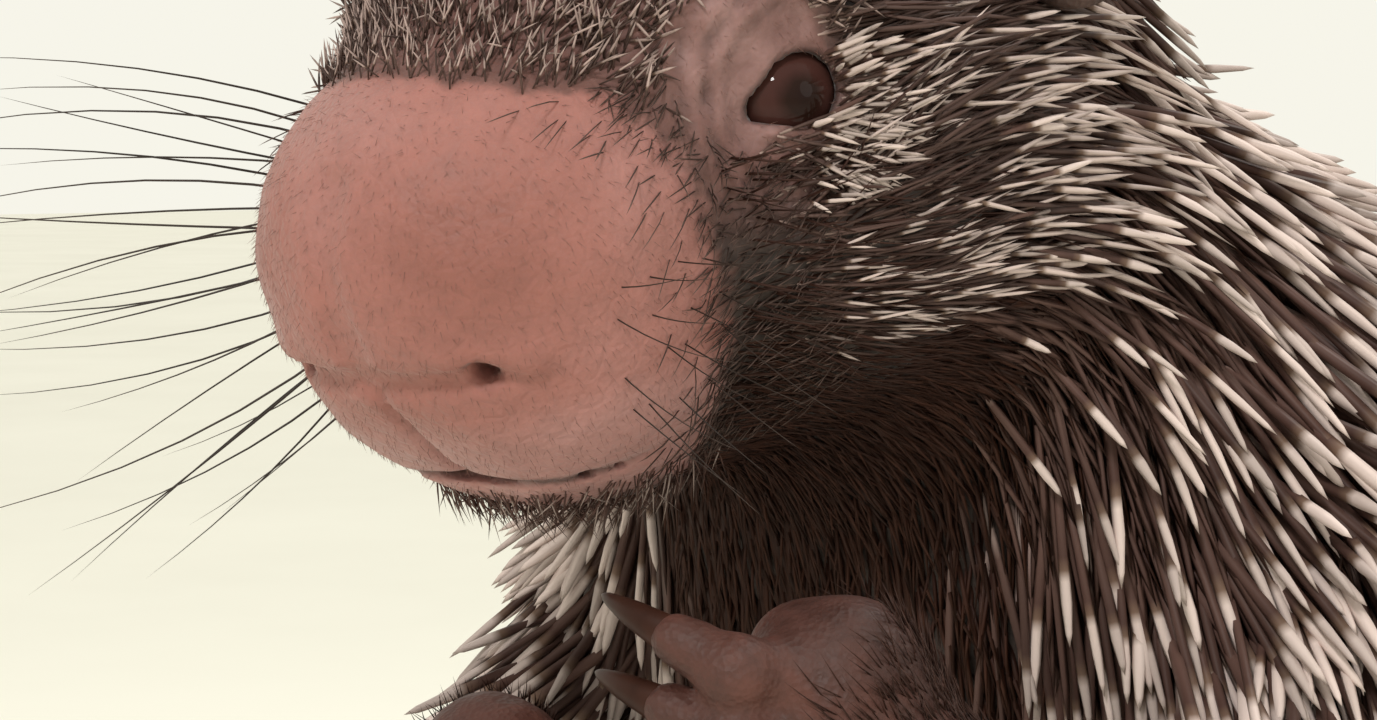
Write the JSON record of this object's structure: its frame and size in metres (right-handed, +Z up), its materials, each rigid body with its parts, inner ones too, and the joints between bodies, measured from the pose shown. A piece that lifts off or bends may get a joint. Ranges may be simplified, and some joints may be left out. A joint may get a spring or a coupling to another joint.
{
  "type": "prehensile-tailed porcupine",
  "caption": "Life-size still model of a prehensile-tailed porcupine sitting up with forepaws together under the chin, long bare-tipped tail coiled on the floor.",
  "frame": {"origin": "middle of the flat under the rump, on the floor that the animal sits on", "axes": "+Z up, the animal faces -Y, +X is its left side"},
  "size_m": [0.2781, 0.3932, 0.3345],
  "materials": {
    "coat": "dark brown quills and fur with cream quill tips",
    "nose_skin": "soft pink-brown downy skin",
    "ear_skin": "thin dark skin",
    "paw_skin": "wrinkled brown-pink skin",
    "tail_skin": "bristly dark skin, bare at the tip",
    "claw": "dark horn",
    "eye": "wet, dark brown"
  },
  "bodies": {
    "root": {"abdomen": "coat", "ear_left": "ear_skin", "ear_right": "ear_skin", "eye_left": "eye", "eye_right": "eye", "fore_claw_left_1": "claw", "fore_claw_left_2": "claw", "fore_claw_left_3": "claw", "fore_claw_left_4": "claw", "fore_claw_right_1": "claw", "fore_claw_right_2": "claw", "fore_claw_right_3": "claw", "fore_claw_right_4": "claw", "forearm_left": "coat", "forearm_right": "coat", "forepaw_left": "paw_skin", "forepaw_right": "paw_skin", "head": "coat", "hind_claw_left_1": "claw", "hind_claw_left_2": "claw", "hind_claw_left_3": "claw", "hind_claw_left_4": "claw", "hind_claw_right_1": "claw", "hind_claw_right_2": "claw", "hind_claw_right_3": "claw", "hind_claw_right_4": "claw", "hind_foot_left": "paw_skin", "hind_foot_right": "paw_skin", "lower_jaw": "coat", "muzzle": "nose_skin", "neck": "coat", "rump": "coat", "shank_left": "coat", "shank_right": "coat", "tail_base": "coat", "tail_middle": "tail_skin", "tail_tip": "tail_skin", "thigh_left": "coat", "thigh_right": "coat", "thorax": "coat", "upper_arm_left": "coat", "upper_arm_right": "coat"}
  },
  "joints": []
}
